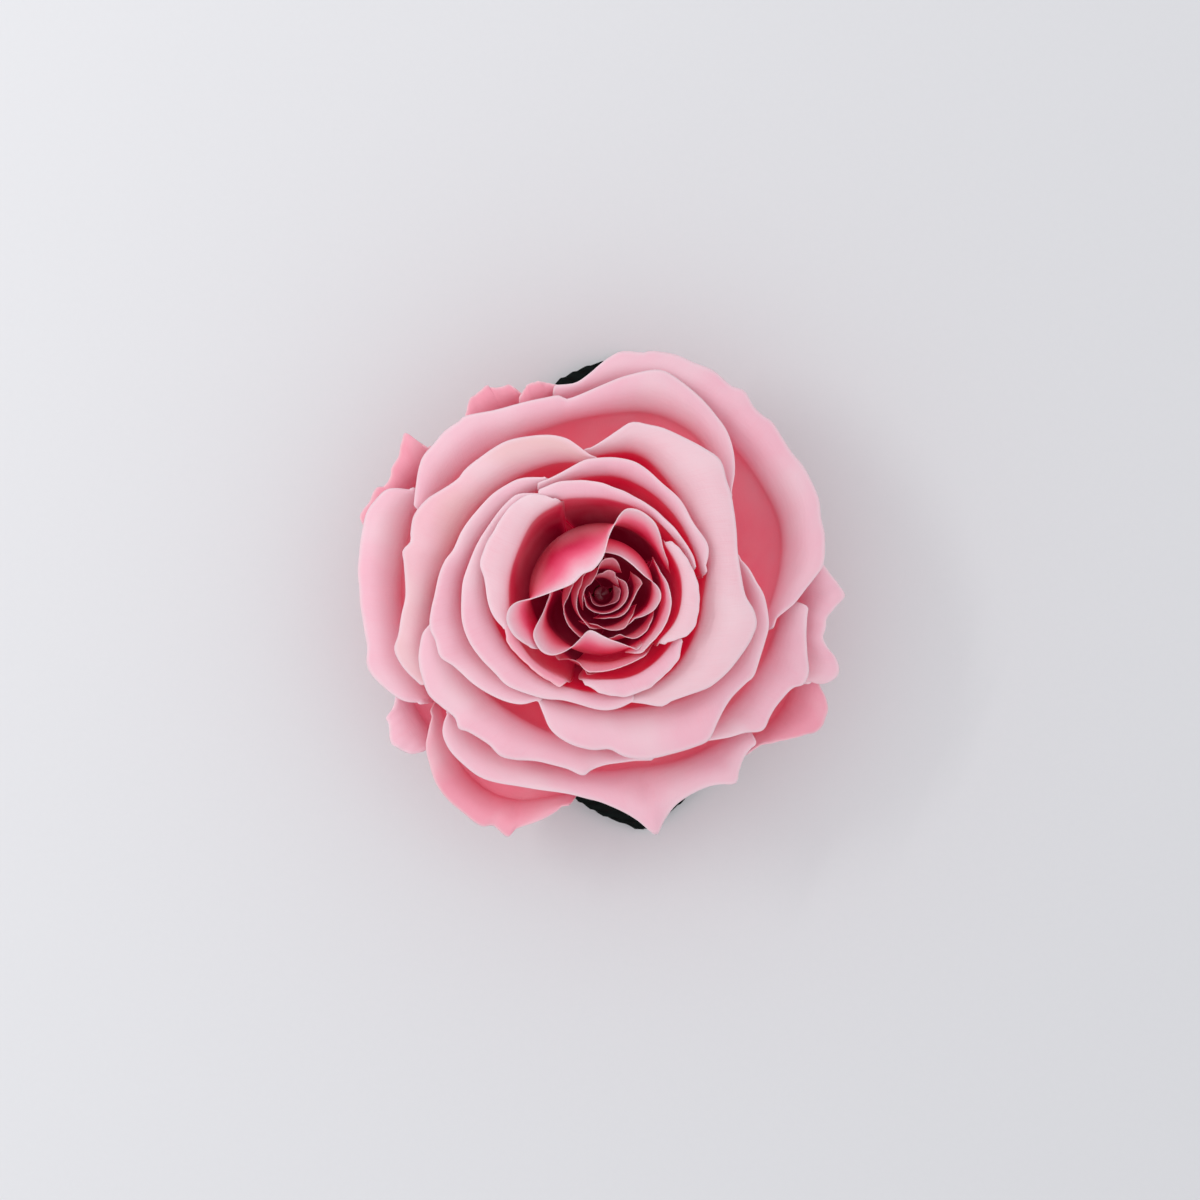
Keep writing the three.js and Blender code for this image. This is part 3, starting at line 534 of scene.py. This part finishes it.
# ---------------------------------------------------------------- the petals
# name: (look, [angle, crest radius] pairs, rim points [x, y] anticlockwise)
OPEN_PETALS = {
    "petal_outer_right": ("outer", [
        [350, 33.6], [360, 35.4], [380, 39.5], [400, 40], [420, 41.5], [450, 41], [463, 39.5],
    ], [
        [32.6, -6], [36, -3.3], [38, -1.5], [40, 1], [42, 3.5], [43.5, 6], [44, 11.2], [43.2, 15],
        [42.7, 19], [41, 23], [39.5, 25.5], [37.5, 27.8], [36, 30.2], [33.6, 33.9], [32, 35], [30, 37],
        [28.2, 40.2], [25.5, 41.2], [22, 44.2], [18, 45.8], [14.5, 47.3], [10, 48.1], [8.3, 47.7],
        [4, 47.9], [1.5, 46.8], [-0.5, 45.3], [-2.5, 43.5], [-5.3, 41.6], [-9, 41.2],
    ]),
    "petal_outer_top_small": ("rosy", [[99, 41.8], [112, 39.8]], [
        [-6.5, 41.4], [-8.6, 41.2], [-10, 41.5], [-12.5, 41.9], [-14.5, 41.4], [-15.2, 40.5],
        [-15.9, 39.4],
    ]),
    "petal_outer_upper_left": ("rosy", [[111, 42.4], [128, 42.2]], [
        [-15.9, 39.6], [-17, 40.5], [-18.4, 41.4], [-20, 40.9], [-22, 40.8], [-22.8, 41.3],
        [-24.5, 39.8], [-26.2, 38.4], [-27, 35.2],
    ]),
    "petal_outer_left_tip": ("rosy", [[140, 44.4], [164, 45.6]], [
        [-34.5, 29], [-36.4, 30.2], [-39, 31.9], [-39.8, 30], [-40.4, 27.2], [-41.7, 25.2],
        [-41.9, 23.4], [-43.2, 21.4], [-44.8, 21], [-46.3, 18.2], [-48, 15.6], [-47.4, 13.6],
    ]),
    "petal_outer_left": ("outer", [[150, 42], [180, 41.5], [211, 41]], [
        [-38, 20.6], [-41, 20.9], [-43, 20.4], [-45, 18.5], [-46.5, 16], [-47.5, 12], [-48.2, 6],
        [-48, 0], [-47.3, -5], [-46.5, -10], [-46.5, -13.5], [-45.8, -15.6], [-44.3, -17.4],
        [-42, -19.3], [-40, -20.7], [-38, -21.3], [-36.4, -21.4],
    ]),
    "petal_outer_left_low": ("outer", [[206, 45], [222, 45.4], [228, 47]], [
        [-40.9, -20.4], [-41.5, -22.6], [-42.8, -24.6], [-42.3, -26], [-42.1, -29], [-41, -30.3],
        [-38.2, -31.7], [-36, -31.4], [-34.5, -30.8],
    ]),
    "petal_outer_lower_left": ("rosy", [
        [214, 39.9], [221, 42.4], [230, 46.5], [245, 47.5], [261, 41.2],
    ], [
        [-33.2, -23.2], [-33.9, -25.5], [-34.4, -27.8], [-34.8, -30], [-34.4, -33], [-33.2, -37],
        [-31, -40.5], [-27, -44], [-24, -46.2], [-21.6, -46.1], [-18.8, -48.2], [-17, -46.6],
        [-14, -45.5], [-11, -44.2], [-9, -43], [-7.8, -41.8], [-6.8, -41],
    ]),
    "petal_outer_bottom": ("outer", [
        [217, 37.6], [222, 38.8], [236, 38.6], [250, 36.6], [280, 36.4], [296, 38], [316, 39.6],
    ], [
        [-30.4, -23.6], [-31.2, -25.6], [-31.3, -28], [-29.8, -31], [-27, -33.8], [-24, -36],
        [-20, -37.3], [-14, -38.2], [-7, -39.2], [-3, -40.2], [0, -41], [4, -42.7], [7, -44.6],
        [9.5, -46.8], [10.8, -47.5], [11.6, -46], [12.6, -44], [14.5, -41.5], [17, -39.7], [20, -38.3],
        [23, -37.5], [26.3, -37.3], [27, -35], [28, -32.3], [29.2, -30.6], [30.2, -29.8],
    ]),
    "petal_outer_lower_right": ("rosy", [[312, 42], [325, 44.6], [338, 43.4]], [
        [28.5, -31.5], [30, -30.2], [32, -29.8], [36, -29], [40, -28], [42.5, -27.3], [43.8, -26],
        [44.7, -23], [44.5, -21], [43, -17.9],
    ]),
    "petal_outer_right_wave": ("outer", [[337, 42.2], [350, 40.6], [368, 40.6]], [
        [41.4, -17.4], [43, -17.8], [45, -17.4], [46.4, -16.3], [46.9, -14.5], [46, -12.3],
        [44.4, -10.4], [43.7, -8.8], [44, -7], [44.4, -4.8], [45.8, -3], [47.9, -0.4], [46.6, 2],
        [45, 4], [43.6, 6],
    ]),
    "petal_outer_right_low": ("outer", [[304, 34.4], [330, 35.4], [357, 37.4]], [
        [20.3, -28.8], [24, -28.3], [28, -27.3], [31.5, -26.7], [33, -24], [35, -21], [37.5, -18.5],
        [39.6, -17.7], [40.6, -15], [40.2, -10], [40.2, -6], [40.5, -3],
    ]),
    "petal_mid_top": ("middle", [
        [38, 31], [57, 38], [75, 39], [90, 36.8], [110, 35.8], [140, 38], [154, 39.2],
    ], [
        [25.2, 19.5], [25.6, 21.5], [26, 24], [25.7, 28], [24.5, 32], [22.5, 35], [19, 39], [14, 43],
        [10.5, 44.2], [5, 43], [0, 41], [-6.6, 38.3], [-8.5, 39], [-13, 38.2], [-17, 37.2], [-21, 36.2],
        [-26.7, 35], [-28, 34], [-31, 32], [-33, 29.6], [-35.3, 27], [-36.3, 24], [-36.8, 20], [-37, 18],
    ]),
    "petal_mid_left": ("cream", [[93, 26], [105, 28], [140, 30.4], [165, 31.6], [180, 34], [206, 36]], [
        [-1.5, 26.5], [-3.3, 27.7], [-5, 29], [-7, 30.3], [-10, 31], [-14, 30.8], [-18, 30],
        [-21, 28.5], [-25, 25.8], [-27, 24], [-27.8, 22.8], [-29.5, 21.5], [-32, 20], [-34.4, 18.4],
        [-36.8, 15.4], [-37.4, 12], [-37.4, 10.2], [-39, 8.4], [-38.8, 6], [-38.5, 0], [-39.3, -4],
        [-40, -8], [-40.8, -10.5], [-40.2, -12.5], [-38.5, -15], [-36, -17.5],
    ]),
    "petal_mid_right": ("white", [
        [285, 20.6], [310, 21.2], [330, 20.6], [360, 20.4], [375, 22.2], [402, 23.4], [420, 26.4],
        [435, 30], [457, 27.8],
    ], [
        [5.8, -21], [8, -21.3], [11.5, -21.8], [13.5, -20.7], [16, -19.8], [20, -18.5], [22, -17.3],
        [25, -14.5], [28, -10.5], [29.5, -7.5], [30, -5.5], [29.4, -3], [27.9, -0.5], [27, 3],
        [26.3, 8], [26.1, 12], [25.7, 16], [25.1, 19.5], [24.2, 22], [23, 26], [20, 28.3], [16, 30.4],
        [12, 32.3], [9, 33], [5.8, 33.5], [3, 31.9], [0, 29.8], [-3, 27.8],
    ]),
    "petal_mid_lower_left": ("middle", [
        [190, 31], [215, 31.4], [235, 30.4], [260, 30.2], [287, 31.8],
    ], [
        [-33.7, -6], [-35.2, -8], [-35.8, -12], [-35.3, -16], [-34, -19.5], [-31.5, -22],
        [-28.8, -24.2], [-28, -26.4], [-26.2, -27], [-22.3, -29.2], [-20, -31.6], [-17, -32.4],
        [-12, -32.8], [-7, -34.2], [-3.8, -35.4], [-2, -34.3], [1, -33.3], [5, -32.8], [9.6, -32.5],
    ]),
    "petal_mid_bottom": ("middle", [
        [238, 23.6], [265, 22.8], [290, 24.4], [312, 27.2], [340, 30.6], [352, 30.2], [376, 27],
    ], [
        [-12.6, -20.4], [-11.5, -23], [-9.8, -26.5], [-6.5, -29], [-2, -30.3], [1.5, -30.2],
        [4.5, -31.6], [9, -32.2], [14, -31], [18, -29.8], [20.5, -28.7], [21.6, -27], [22.5, -25],
        [25, -20.5], [28, -17.5], [29.7, -16], [31, -12], [32.2, -8], [32.5, -6], [32.2, -3], [31.5, 0],
        [30, 2.5], [28.5, 5], [26.5, 7.2],
    ]),
    "petal_ring_top_outer": ("pale", [
        [12, 20.4], [29, 20.6], [46, 21.6], [63, 22.8], [83, 24.2], [120, 23.6],
    ], [
        [19.8, 4.6], [20.6, 7.6], [20.2, 10], [17.6, 14], [16, 17], [14, 19.4], [11, 22], [8.5, 24.3],
        [6, 25.8], [3, 26.4], [-1.5, 26.3], [-4, 25.7], [-8, 23.5], [-12.2, 21.6],
    ]),
    "petal_ring_top_inner": ("pale", [[16, 18.5], [45, 18.3], [75, 18.8], [100, 19.8], [121, 21.4]], [
        [18, 5.6], [17.6, 7.4], [16.4, 9.4], [13.6, 13.2], [11.4, 15.2], [9.5, 16.8], [7, 18.4],
        [4, 19.9], [0, 21.4], [-5, 22], [-9, 21.5], [-12, 20.3],
    ]),
    "petal_ring_left_outer": ("pale", [
        [115, 24.3], [150, 26.4], [180, 28.6], [205, 27.6], [238, 22.8],
    ], [
        [-11.5, 22.6], [-16, 22.4], [-19, 21], [-22, 18.7], [-25, 15.3], [-27.5, 12], [-29, 8.5],
        [-30.5, 6.6], [-31.7, 4], [-32.6, 0], [-33.3, -3], [-33.5, -6.5], [-32.6, -9], [-31.6, -12.2],
        [-29, -14], [-25, -17.5], [-21, -20], [-16, -21.4], [-12.8, -20.8],
    ]),
    "petal_ring_left_middle": ("pale", [
        [122, 22.3], [150, 23.6], [180, 23.2], [215, 21.6], [250, 20.2], [285, 20],
    ], [
        [-12.4, 19.4], [-16, 19.4], [-18, 18.2], [-21, 14.7], [-24.5, 9.2], [-26.5, 4], [-27.2, 0],
        [-27.2, -5], [-26, -9], [-23.5, -12.5], [-21, -15.2], [-19, -17.3], [-17, -18.4], [-14, -19.5],
        [-11, -20.3], [-8, -20.6], [-5, -21.3], [0, -22.5], [3, -22.2], [5.6, -21],
    ]),
    "petal_ring_left_inner": ("white", [
        [117, 20.2], [131, 20.6], [141, 19.8], [152, 19.1], [185, 18.9], [199, 19.3],
    ], [
        [-9.4, 18.4], [-11.5, 19.1], [-14, 19.2], [-16.5, 18], [-19, 15.5], [-21, 12], [-22.5, 9.5],
        [-23.6, 5.8], [-22.8, 3], [-22.3, 0], [-21.7, -3], [-20.4, -5.2], [-19.3, -6.4],
    ]),
    "petal_ring_lower_left": ("rosy", [[198, 18.8], [220, 19.5], [246, 18.8]], [
        [-18.8, -6.9], [-18.5, -8], [-18.3, -9.5], [-16, -12.2], [-12.5, -15.4], [-10, -17],
        [-8.5, -17.9],
    ]),
    "petal_ring_bottom": ("pale", [[261, 17.6], [270, 17.3], [290, 17.9], [331, 17.2]], [
        [-2.9, -17.6], [-1.5, -18.5], [0, -19.3], [4, -19.9], [7, -19.1], [9.5, -18], [11.5, -16.2],
        [13.4, -14.4], [14.8, -12.6], [15.4, -9.6],
    ]),
    "petal_ring_right": ("white", [[322, 15], [340, 16], [376, 16.4], [396, 16.2]], [
        [12.6, -9.4], [14.4, -8.8], [16.5, -8], [18, -6], [18.7, -3], [18.8, 0], [18.2, 3], [17.2, 5.4],
        [15.6, 8], [13.8, 9.8],
    ]),
}
# name: (look, [angle, widest radius] pairs, rim points [x, y, z] anticlockwise)
HEART_PETALS = {
    "petal_inner_fold": ("fold", [
        [30, 13.5], [60, 13.7], [90, 13.7], [175, 14.2], [205, 13.7], [215, 13.5],
    ], [
        [12.4, 7.2, 52], [11.8, 9, 53.5], [11.2, 11.6, 55], [10, 14, 56.5], [7.4, 16, 58],
        [4.9, 16.4, 58.5], [3.4, 15.2, 58.5], [2.4, 13.4, 58.5], [1.3, 11, 58], [0.5, 8, 57.6],
        [-0.3, 6.3, 57.5], [-1.8, 4.6, 57.5], [-3.7, 3.8, 57.5], [-5.6, 2, 57.6], [-9, 0.6, 58],
        [-13, -0.8, 58.5], [-16.4, -1.6, 58.8], [-18, -3, 59], [-18.4, -5.2, 58], [-17.2, -7.8, 57],
        [-15.4, -9.4, 55.5], [-14.2, -10.1, 54],
    ]),
    "petal_inner_lower": ("fold", [[181, 9.6], [205, 12.3], [245, 12], [303, 11.6]], [
        [-10.2, -0.3, 51], [-10.9, -2.2, 52], [-11.6, -4, 52.6], [-13.2, -7.2, 53.5], [-13, -9.2, 53.5],
        [-11.8, -11.1, 53.5], [-10, -11.9, 53.5], [-8, -11.5, 53.8], [-6, -10.4, 54],
        [-4.4, -8.9, 54.3], [-2.4, -7.1, 54.5], [0, -8.1, 54.3], [1.8, -8.9, 54], [4, -9.7, 53.5],
        [6.8, -10.9, 52.5],
    ]),
    "petal_inner_right": ("fold", [[305, 11.7], [360, 11.6], [381, 11.8]], [
        [8, -11.2, 54], [9.2, -9.8, 54.6], [10.5, -8.5, 55], [12, -6.4, 55.3], [13, -4, 55.5],
        [13.4, -2, 55.5], [13.2, 0, 55.5], [12.5, 2.4, 54.8], [11.3, 4.2, 53],
    ]),
    "petal_inner_cup": ("fold", [[322, 7.6], [350, 9.4], [380, 10.2], [446, 10.8]], [
        [6.3, -4.8, 51.5], [8, -4.3, 52], [10, -3.2, 52.7], [11.1, -1.6, 53], [11.4, 0, 53],
        [10.6, 1.6, 53], [9, 2.9, 53.6], [7.5, 4.1, 54], [6, 5.5, 54], [4.5, 6.7, 54], [2.8, 7.6, 53.6],
        [0.6, 8, 53],
    ]),
    "petal_inner_left": ("heart", [[162, 7.3], [243, 8.8]], [
        [-5.6, 1.8, 50], [-6.5, -0.4, 50.6], [-7.4, -2.4, 51], [-7.2, -4.5, 51.4], [-6.2, -6.5, 51.6],
        [-4.3, -8.4, 50.5],
    ]),
    "petal_inner_left_small": ("heart", [[139, 5.6], [250, 6.4]], [
        [-3.7, 3.4, 49.5], [-4, 1.8, 50], [-4.6, 0.4, 50.3], [-4.9, -1.4, 50.5], [-4.8, -3, 50.5],
        [-4.2, -4.4, 50.5], [-2.5, -6.6, 50],
    ]),
    "petal_inner_bottom_edge": ("rosy", [[261, 13.4], [304, 13.4]], [
        [-2.3, -15.2, 54], [0.6, -15, 54.5], [3, -14.4, 54.5], [5.4, -13.5, 54.4], [8, -12.2, 54],
    ]),
    "petal_inner_lobe": ("heart", [[236, 14], [260, 14.8]], [
        [-8.4, -12.9, 47], [-6.4, -12.7, 49.5], [-4.6, -13.3, 50.5], [-3.5, -14.5, 50.8],
        [-2.9, -15.6, 51],
    ]),
    "petal_heart_lower_tip": ("heart", [[284, 9.2], [330, 10.2]], [
        [2.2, -8.4, 51.5], [3.4, -7.9, 52.5], [4.8, -8.4, 52.5], [6.6, -8.6, 52.5], [8.6, -7.2, 52],
        [9.4, -5.6, 51.5],
    ]),
    "petal_heart_lower": ("heart", [[260, 6.6], [318, 6.6]], [
        [-1, -6, 49.5], [0.6, -6.8, 50.2], [2.4, -7.1, 50.5], [4.4, -6.6, 50.5], [5.4, -5, 50],
    ]),
    "petal_heart_right": ("heart", [[282, 4.6], [342, 5.6], [374, 6.6]], [
        [1, -4.7, 49], [3.2, -4.5, 50], [4.8, -3.4, 50.3], [5.8, -1.6, 50.5], [6.9, 0.6, 50.5],
        [7.8, 2, 50],
    ]),
    "petal_heart_swirl_left": ("heart", [[74, 5.2], [190, 4.5]], [
        [2, 7, 50], [0.6, 6.8, 50.4], [-0.4, 5.8, 50.5], [-1, 4, 50.2], [-2, 2.2, 49.8],
        [-3.2, 1.1, 49.5], [-3.8, -0.6, 49],
    ]),
    "petal_heart_swirl_right": ("heart", [[194, 3.5], [280, 3.6], [403, 4.2]], [
        [-3.4, -1, 48.5], [-2.9, -2.6, 49], [-1.2, -3.6, 49], [0.8, -3.8, 49], [3, -3, 49.4],
        [4.6, -1.4, 49.5], [5.1, 0.4, 49.5], [4.6, 2.2, 49], [3.2, 3, 49],
    ]),
    "petal_heart_top": ("heart", [[50, 3.2], [92, 3.4]], [
        [2.6, 3.3, 48.5], [2.4, 4.2, 49], [1.2, 4.6, 49], [0, 4, 48.5],
    ]),
    "petal_heart_core": ("core", [[198, 2.2], [372, 2.4]], [
        [-2.2, -0.8, 47], [-1.7, -1.9, 47.5], [-0.2, -2.4, 48], [1.6, -2, 48], [3.1, -1.3, 48],
        [3.6, 0.6, 47.5],
    ]),
}


# ---------------------------------------------------------------- stem, bud, sepals and leaves
TURNED_ROWS = 40
TURNED_GRAIN_RADIUS = 6
FAR_FROM_EDGE_MM = 5
BLOOM_TOP_MM = 60


def turned_grid(outline, columns):
    line = smooth_through([[r, z, 0] for r, z in outline], TURNED_ROWS)
    grid = np.zeros((columns, len(line), 3))
    for i in range(columns):
        turn = 2 * math.pi * i / columns
        grid[i, :, 0] = line[:, 0] * math.cos(turn)
        grid[i, :, 1] = line[:, 0] * math.sin(turn)
        grid[i, :, 2] = line[:, 1]
    return grid


def add_turned(node, outline, columns, material):
    grid = turned_grid(outline, columns)
    rows = grid.shape[1]
    ends = np.array([[0, 0, outline[0][1]], [0, 0, outline[-1][1]]])
    points = np.concatenate([grid.reshape(-1, 3), ends])
    faces = []
    bottom = columns * rows
    for i in range(columns):
        a = i * rows
        b = ((i + 1) % columns) * rows
        faces.append([bottom, b, a])
        faces.append([bottom + 1, a + rows - 1, b + rows - 1])
        for j in range(rows - 1):
            faces.append([a + j, b + j, b + j + 1, a + j + 1])
    points = points + np.array([SHIFT_X, SHIFT_Y, 0])
    mesh = bpy.data.meshes.new(node + "_look")
    mesh.from_pydata((points * MM).tolist(), [], faces)
    mesh.shade_smooth()
    around = np.arctan2(points[:, 1], points[:, 0]) * TURNED_GRAIN_RADIUS
    store(mesh, "over_mm", around)
    store(mesh, "up_mm", points[:, 2])
    store(mesh, "edge_mm", FAR_FROM_EDGE_MM + 0 * around)
    # depth_mm, the distance below the bloom top, sets the painted shade of the bud's dark core colour
    store(mesh, "depth_mm", BLOOM_TOP_MM - points[:, 2])
    place(node, mesh, material)


def add_blade(node, grid, half_thick, material):
    over, up, _, _ = lengths(grid)
    mesh = sheet_mesh(node + "_look", grid, np.full(grid.shape[:2], half_thick))
    store_sheet(mesh, "over_mm", over)
    store_sheet(mesh, "up_mm", up)
    place(node, mesh, material)


HIP_RADIUS = 12.6
SEPAL_GAP = 0.6
SEPAL_LENGTH = 31
SEPAL_HALF_WIDTHS = [2.4, 3.4, 3.9, 3.3, 2, 0.5]
SEPAL_HALF_THICK = 0.3
SEPAL_FIRST_ANGLE, SEPAL_STEP_ANGLE = 20, 72
SEPAL_COUNT = 5
SEPAL_ROWS, SEPAL_COLUMNS = 44, 15
LEAFLET_HALF_WIDTHS = [1.2, 5.2, 8.2, 9.6, 9.6, 8, 5, 0.5]
LEAFLET_HALF_THICK = 0.2
LEAFLET_TIP_HALF_WIDTH = 0.2
LEAFLET_ROWS, LEAFLET_COLUMNS = 92, 31
LEAFLET_LIFT = 1.15
TOOTH_COUNT, TOOTH_MM = 15, 0.5
RIB_HEIGHT, RIB_STEP = 0.12, 1.9
STALK_ROWS, STALK_SIDES = 30, 17
STALK_RADIUS, STALK_HALF_THICK = 0.7, 0.08
# Outlines of the turned bodies: [radius, height] from the bottom up
BUD_OUTLINE = [[0.5, 30.6], [1, 34], [1.5, 40], [1.3, 45], [0.6, 47]]
BUD_SIDES = 32
STEM_OUTLINE = [[2.7, 0], [2.7, 6], [6.5, 8], [10.5, 11.2], [12.6, 14.6], [12.2, 15.8], [0.8, 29.2]]
STEM_SIDES = 64


def add_sepal(number):
    """A narrow blade out from the hip that droops towards its tip."""
    turn = math.radians(SEPAL_FIRST_ANGLE + SEPAL_STEP_ANGLE * number)
    share = np.linspace(0, 1, SEPAL_ROWS)
    half = np.interp(share, np.linspace(0, 1, len(SEPAL_HALF_WIDTHS)), SEPAL_HALF_WIDTHS)
    side = np.linspace(1, -1, SEPAL_COLUMNS)
    cross = side[:, None] * half[None, :]
    out = (HIP_RADIUS + SEPAL_GAP + SEPAL_LENGTH * share)[None, :] + 0 * cross
    z = 13.4 - 1.2 * np.sin(share * 2.4) - 5.2 * share * share - 0.05 * cross * cross
    grid = np.stack([out * math.cos(turn) + cross * math.sin(turn),
                     out * math.sin(turn) - cross * math.cos(turn), z], axis=2)
    add_blade(f"sepal_{number + 1}", grid, SEPAL_HALF_THICK, SEPAL)


def add_leaflet(node, start, heading, length, width):
    """A toothed leaflet with ribs, lying on the surface and folded up a little at its sides."""
    turn = math.radians(heading)
    share = np.linspace(0, 1, LEAFLET_ROWS)
    half = np.interp(share, np.linspace(0, 1, len(LEAFLET_HALF_WIDTHS)), LEAFLET_HALF_WIDTHS) * width
    half = np.convolve(np.pad(half, 4, mode="edge"), np.ones(9) / 9, mode="valid")
    half[-1] = LEAFLET_TIP_HALF_WIDTH
    teeth = (share * TOOTH_COUNT) % 1.0
    side = np.linspace(1, -1, LEAFLET_COLUMNS)
    reach = np.abs(side[:, None]) ** 6 * (TOOTH_MM * teeth)[None, :]
    cross = side[:, None] * half[None, :] + np.sign(side)[:, None] * reach
    out = (length * share)[None, :] + 0 * cross
    ribs = RIB_HEIGHT * np.sin((out - 0.8 * np.abs(cross)) * RIB_STEP) * np.minimum(1, np.abs(cross) / 2)
    z = LEAFLET_LIFT + 0.12 * np.abs(cross) + 1.2 * np.sin(math.pi * share)[None, :] + ribs
    grid = np.stack([start[0] + out * math.cos(turn) + cross * math.sin(turn),
                     start[1] + out * math.sin(turn) - cross * math.cos(turn), z], axis=2)
    add_blade(node, grid, LEAFLET_HALF_THICK, DARK_SHADED_LEAF)


def add_stalk(node, path):
    """A leaf stalk: a thin-walled tube along a path."""
    line = smooth_through(path, STALK_ROWS)
    grid = np.zeros((STALK_SIDES, len(line), 3))
    heading = np.arctan2(np.gradient(line[:, 1]), np.gradient(line[:, 0]))
    for i in range(STALK_SIDES):
        turn = 2 * math.pi * i / STALK_SIDES
        grid[i, :, 0] = line[:, 0] - STALK_RADIUS * math.cos(turn) * np.sin(heading)
        grid[i, :, 1] = line[:, 1] + STALK_RADIUS * math.cos(turn) * np.cos(heading)
        grid[i, :, 2] = line[:, 2] + STALK_RADIUS * math.sin(turn)
    add_blade(node, grid, STALK_HALF_THICK, DARK_SHADED_LEAF)


# ---------------------------------------------------------------- floor and light
FLOOR_HALF_SIDE = 3.0
WORLD_STRENGTH = 0.95
WORLD_COLOUR = (0.97, 0.98, 1.0, 1.0)
KEY_PLACE = (-1.3, 0.5, 1.5)
KEY_AIM = (0, 0, 0.03)
KEY_SIZE = 0.9
KEY_POWER = 86.0
KEY_COLOUR = (1.0, 0.99, 0.97)


def add_floor():
    side = FLOOR_HALF_SIDE
    mesh = bpy.data.meshes.new("floor")
    corners = [(-side, -side, 0), (side, -side, 0), (side, side, 0), (-side, side, 0)]
    mesh.from_pydata(corners, [], [[0, 1, 2, 3]])
    n = Nodes("floor paper")
    where = n.add("ShaderNodeTexCoord")
    grain = n.add("ShaderNodeTexNoise")
    grain.inputs["Scale"].default_value = 900.0
    grain.inputs["Detail"].default_value = 3.0
    n.join(where.outputs["Object"], grain.inputs["Vector"])
    colour = n.mix(n.math("MULTIPLY", grain.outputs[0], 0.12), (0.735, 0.735, 0.755), (0.62, 0.62, 0.64))
    shader = n.add("ShaderNodeBsdfPrincipled")
    n.join(colour, shader.inputs["Base Color"])
    shader.inputs["Roughness"].default_value = 0.9
    shader.inputs["Specular IOR Level"].default_value = 0.1
    mesh.materials.append(n.finish(shader.outputs[0]))
    floor = link("floor", mesh)


def add_light(name, location, size, power, colour):
    data = bpy.data.lights.new(name, "AREA")
    data.shape = "DISK"
    data.size = size
    data.energy = power
    data.color = colour
    lamp = bpy.data.objects.new(name, data)
    lamp.location = location
    aim = np.array(KEY_AIM) - np.array(location)
    heading = math.atan2(aim[1], aim[0])
    tilt = math.atan2(math.hypot(aim[0], aim[1]), -aim[2])
    lamp.rotation_euler = (0, -tilt, heading + math.pi)
    bpy.context.scene.collection.objects.link(lamp)


def add_world(strength):
    world = bpy.data.worlds.new("studio")
    bpy.context.scene.world = world
    world.use_nodes = True
    background = world.node_tree.nodes["Background"]
    background.inputs["Color"].default_value = WORLD_COLOUR
    background.inputs["Strength"].default_value = strength


# ---------------------------------------------------------------- build
add_camera()
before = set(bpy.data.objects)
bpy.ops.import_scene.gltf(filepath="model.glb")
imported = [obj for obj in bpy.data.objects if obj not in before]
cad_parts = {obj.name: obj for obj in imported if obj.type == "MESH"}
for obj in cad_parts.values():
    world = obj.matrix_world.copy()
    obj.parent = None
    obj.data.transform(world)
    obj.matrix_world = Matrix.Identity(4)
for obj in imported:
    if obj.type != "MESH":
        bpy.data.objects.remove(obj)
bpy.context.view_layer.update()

for node, (look, pairs, rim) in OPEN_PETALS.items():
    add_petal(node, pairs, rim, False, MATERIALS[look])
for node, (look, pairs, rim) in HEART_PETALS.items():
    add_petal(node, pairs, rim, True, MATERIALS[look])
add_turned("petal_heart_bud", BUD_OUTLINE, BUD_SIDES, MATERIALS["core"])
add_turned("stem_and_hip", STEM_OUTLINE, STEM_SIDES, STEM)
for number in range(SEPAL_COUNT):
    add_sepal(number)
add_stalk("leaf_stalk_top", [[-0.6, 3.4, 2], [-1.5, 10, 1.4], [-2.4, 19.4, 1.1]])
add_leaflet("leaflet_top_end", [-2.5, 20.4], 74, 28.6, 1.5)
add_leaflet("leaflet_top_left", [-3.5, 12.4], 162, 23, 0.8)
add_leaflet("leaflet_top_right", [0, 11.4], 6, 23, 0.8)
add_stalk("leaf_stalk_bottom", [[0.8, -3.4, 2], [2.4, -10, 1.4], [4.2, -19.4, 1.1]])
add_leaflet("leaflet_bottom_end", [4.4, -20.4], -81, 27.4, 1.55)
add_leaflet("leaflet_bottom_left", [1.6, -12.4], 202, 23, 0.8)
add_leaflet("leaflet_bottom_right", [4.6, -11.8], -8, 23, 0.8)

add_floor()
add_world(WORLD_STRENGTH)
add_light("key", KEY_PLACE, KEY_SIZE, KEY_POWER, KEY_COLOUR)
bpy.context.scene.view_settings.view_transform = "Standard"
